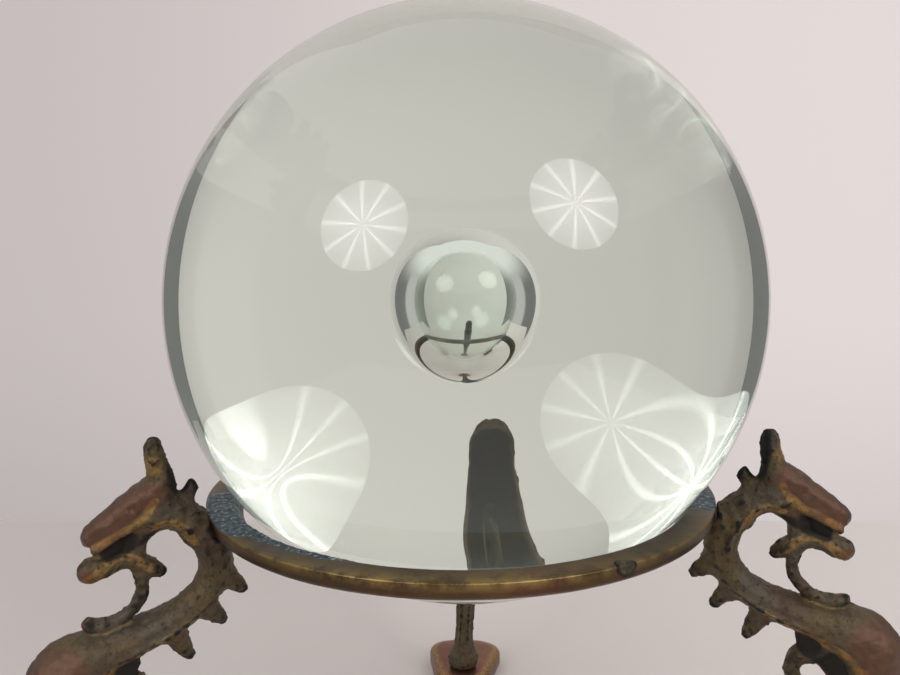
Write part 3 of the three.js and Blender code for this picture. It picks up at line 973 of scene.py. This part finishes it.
def solder_skin(side):
    """A lumpy skin of solder on the ring at one leg, thick in the middle and thin at its edges."""
    first, last, narrows = SOLDER_ARCS[side]
    steps = int((last - first) * 3.2)
    across = 18
    lift = between([(v, 0) for v in SOLDER_LIFT], np.linspace(0, 1, across + 1))[:, 0]
    points = []
    for under in (False, True):
        for step in range(steps + 1):
            turn = first + (last - first) * step / steps
            angle = math.radians(LEG_ANGLES[side] + turn)
            ends = float(smoothstep(first, first + 5, turn))
            ends *= 1 - float(smoothstep(last - 6, last, turn))
            begin = solder_border(turn, last, narrows)
            route = between(SOLDER_PATH, np.linspace(begin, 1, across + 1))
            for raised, (radius, height) in zip(lift, route):
                place = on_circle(angle, radius, height)
                grain = 0.55 + 0.4 * noise.noise(place * 0.5) + 0.2 * noise.noise(place * 1.6)
                thick = max(raised * ends * grain, 0.02) - SOLDER_SUNK * (1 - ends)
                if under:
                    thick = -SOLDER_SUNK
                inward = float(smoothstep(59.5, 57.5, radius)) * 0.7
                outward = on_circle(angle, -inward, 1)
                place += outward.normalized() * thick
                points.append(clear_of_ball(ring_centre + place * MM))
    row_length = across + 1
    sheet_size = (steps + 1) * row_length
    faces = []
    for step in range(steps):
        for row in range(across):
            a = step * row_length + row
            b = a + row_length
            faces.append((a, a + 1, b + 1, b))
            faces.append(tuple(sheet_size + i for i in (b, b + 1, a + 1, a)))
    border = list(range(across))
    border += [step * row_length + across for step in range(steps)]
    border += [steps * row_length + row for row in range(across, 0, -1)]
    border += [step * row_length for step in range(steps, 0, -1)]
    for here, there in zip(border, border[1:] + border[:1]):
        faces.append((here, sheet_size + here, sheet_size + there, there))
    made = new_object(f"{side}_solder_skin", points, faces)
    face_outwards(made)
    return made


# ---------------------------------------------------------------- assembly

piece(ball_mesh(), "ball", "crystal", crystal(), "crystal_ball")
piece(ring_mesh(), "stand", "ring_brass", ring_brass(), "support_ring")
piece(rivet_mesh(), "stand", "rivet_brass", dark_plug(), "ring_rivet")

clay_casting = casting()
dragon_brass = cast_brass()
plate_brass = foot_brass()
solder_metal = solder()
steel = screw_steel()
for seed, name in enumerate(LEG_ANGLES):
    made = dragon(name, clay_casting, seed)
    piece(made, "stand", "cast_brass", dragon_brass, f"{name}_dragon_leg")
    piece(foot(name), "stand", "foot_brass", plate_brass, f"{name}_foot")
    piece(solder_skin(name), "stand", "solder", solder_metal, f"{name}_leg_solder")
    for screw_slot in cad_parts[f"{name}_foot_screw"].material_slots:
        screw_slot.material = steel


# ---------------------------------------------------------------- studio

TABLE_HALF_WIDTH = 0.34
TABLE_COLOR = (0.57, 0.525, 0.51)
BACKDROP_HALF_WIDTH = 1.03
BACKDROP_BEHIND = 1.3  # from the ball's middle
BACKDROP_COLOR = (0.66, 0.605, 0.595)
BACKDROP_GLOW = 0.55


def lighter(color, times):
    return tuple(value * times for value in color)


def table_paper():
    """Matt paper, with painted light making it brighter towards the right."""
    s = Shader("table_paper")
    across = s.ramp(s.parts(s.place())["X"], -TABLE_HALF_WIDTH, TABLE_HALF_WIDTH)
    # painted light: the paper's colour rises to 1.3 times towards the right
    base = s.mix(across, TABLE_COLOR, lighter(TABLE_COLOR, 1.3))
    s.set(s.surface, Base_Color=base, Roughness=0.9)
    return s.material


def backdrop_paper():
    """Lit matt paper that also glows with painted light, brighter towards the right and dimmer at
    its foot.
    """
    s = Shader("backdrop_paper")
    place = s.parts(s.place())
    dim, bright = 0.72 * BACKDROP_GLOW, 1.28 * BACKDROP_GLOW
    glow = s.ramp(place["X"], -BACKDROP_HALF_WIDTH, BACKDROP_HALF_WIDTH, dim, bright)
    glow = s.math("MULTIPLY", glow, s.ramp(place["Z"], -0.5, 0.1, 0.78, 1.0))
    base = s.mix(s.noise(1.3, 2.0), BACKDROP_COLOR, lighter(BACKDROP_COLOR, 1.03))
    s.set(s.surface, Base_Color=base, Roughness=0.9)
    # painted light: the paper glows, brighter to the right and dimmer low down
    s.set(s.surface, Emission_Color=BACKDROP_COLOR, Emission_Strength=glow)
    return s.material


def panel(name, corners, material):
    made = new_object(name, corners, [(0, 1, 2, 3)])
    made.data.materials.append(material)


def set_stage():
    """A pale table, and a lit backdrop that glows with painted light, standing well behind it."""
    side = TABLE_HALF_WIDTH
    front, rear = ball_centre.y - 0.5, ball_centre.y + 0.263
    table = [(-side, front, 0), (side, front, 0), (side, rear, 0), (-side, rear, 0)]
    panel("table", table, table_paper())
    side = BACKDROP_HALF_WIDTH
    behind, low, top = ball_centre.y + BACKDROP_BEHIND, -1.5, 2.6
    wall = [(-side, behind, low), (side, behind, low), (side, behind, top), (-side, behind, top)]
    panel("backdrop", wall, backdrop_paper())


def round_lamp(name, place, aim, size, power):
    data = bpy.data.lights.new(name, "AREA")
    data.shape = "DISK"
    data.size = size
    data.energy = power
    made = bpy.data.objects.new(name, data)
    made.location = place
    made.rotation_mode = "QUATERNION"
    made.rotation_quaternion = (aim - place).to_track_quat("-Z", "Y")
    bpy.context.scene.collection.objects.link(made)
    return made


UMBRELLA_RIBS = 10


def make_umbrella(lamp):
    """Gives a round lamp an umbrella's look in reflections: panels between bright ribs."""
    lamp.data.use_nodes = True
    s = Nodes(lamp.data.node_tree)
    middle = s.node("ShaderNodeVectorMath", operation="SUBTRACT")
    s.feed(middle.inputs[0], s.node("ShaderNodeNewGeometry").outputs["Parametric"])
    s.feed(middle.inputs[1], (0.5, 0.5, 0))
    place = s.parts(middle.outputs[0])
    turn = s.math("ARCTAN2", place["Y"], place["X"], clamp=False)
    around = s.math("MULTIPLY", turn, UMBRELLA_RIBS / 2, clamp=False)
    off_rib = s.math("ABSOLUTE", s.math("SINE", around, clamp=False), clamp=False)
    reach = s.node("ShaderNodeVectorMath", operation="LENGTH")
    s.feed(reach.inputs[0], middle.outputs[0])
    ribs = s.ramp(off_rib, 0.0, 0.5, 1.9, 0.75, kind="LINEAR")
    falloff = s.ramp(reach.outputs["Value"], 0.1, 0.5, 1.2, 0.55, kind="LINEAR")
    strength = s.math("MULTIPLY", ribs, falloff, clamp=False)
    s.set(s.tree.nodes["Emission"], Strength=strength)


ROOM_COLOR = (0.83, 0.81, 0.8)


def dim_room(room):
    """A soft studio: a pale ceiling and pale side walls, and dim corners beside the backdrop."""
    room.use_nodes = True
    s = Nodes(room.node_tree)
    toward = s.parts(s.node("ShaderNodeTexCoord").outputs["Generated"])
    ceiling = s.ramp(toward["Z"], 0.15, 0.75, 0.23, 1.0)
    beside = s.ramp(toward["Y"], 0.42, 0.26)
    before = s.ramp(toward["Y"], -0.4, -0.15, 0.0, 0.62)
    brightness = s.math("MAXIMUM", ceiling, s.math("MULTIPLY", beside, before))
    s.set(s.tree.nodes["Background"], Color=ROOM_COLOR, Strength=brightness)


def lamp_seen_at(across, up):
    """Where on the ball a lamp is mirrored, and the direction from there to the lamp.

    across and up are the reflection's place in ball radii, as seen from the camera.
    """
    toward = (camera_place - ball_centre).normalized()
    side = Vector((0, 0, 1)).cross(toward).normalized()
    rise = toward.cross(side)
    depth = math.sqrt(1 - across**2 - up**2)
    normal = side * across + rise * up + toward * depth
    spot = ball_centre + normal * ball_radius
    ray = (spot - camera_place).normalized()
    return spot, ray - 2 * ray.dot(normal) * normal


# the camera: a phone held close, a little above the ball's middle, tilted down
CAMERA_DISTANCE = 2.54  # from the ball's middle, in ball radii
CAMERA_RISE = math.radians(2.5)
CAMERA_TILT = math.radians(-5.38)
CAMERA_TURN = math.radians(1.13)
CAMERA_ROLL = math.radians(-0.38)
SENSOR_WIDTH = 36
LENS = 28.44

camera_place = ball_centre + ball_radius * CAMERA_DISTANCE * Vector(
    (0, -math.cos(CAMERA_RISE), math.sin(CAMERA_RISE))
)
camera_data = bpy.data.cameras.new("camera")
camera_data.sensor_width = SENSOR_WIDTH
camera_data.lens = LENS
camera_data.clip_start = 0.01
camera = bpy.data.objects.new("camera", camera_data)
camera.matrix_world = (
    Matrix.Translation(camera_place)
    @ Matrix.Rotation(CAMERA_TURN, 4, "Z")
    @ Matrix.Rotation(math.pi / 2 + CAMERA_TILT, 4, "X")
    @ Matrix.Rotation(CAMERA_ROLL, 4, "Z")
)
bpy.context.scene.collection.objects.link(camera)
bpy.context.scene.camera = camera

# where the lamps are mirrored in the ball: across and up in ball radii, and their watts
LAMPS = [(-0.223, 0.181, 5.4), (0.25, 0.228, 5.8)]
LAMP_DISTANCE = 1.15
LAMP_SIZE = 0.62

set_stage()
for number, (across, up, power) in enumerate(LAMPS):
    spot, toward = lamp_seen_at(across, up)
    place = spot + toward * LAMP_DISTANCE
    make_umbrella(round_lamp(f"umbrella_{number}", place, ball_centre, LAMP_SIZE, power))

world = bpy.data.worlds.new("studio")
bpy.context.scene.world = world
dim_room(world)
bpy.context.scene.view_settings.view_transform = "Standard"
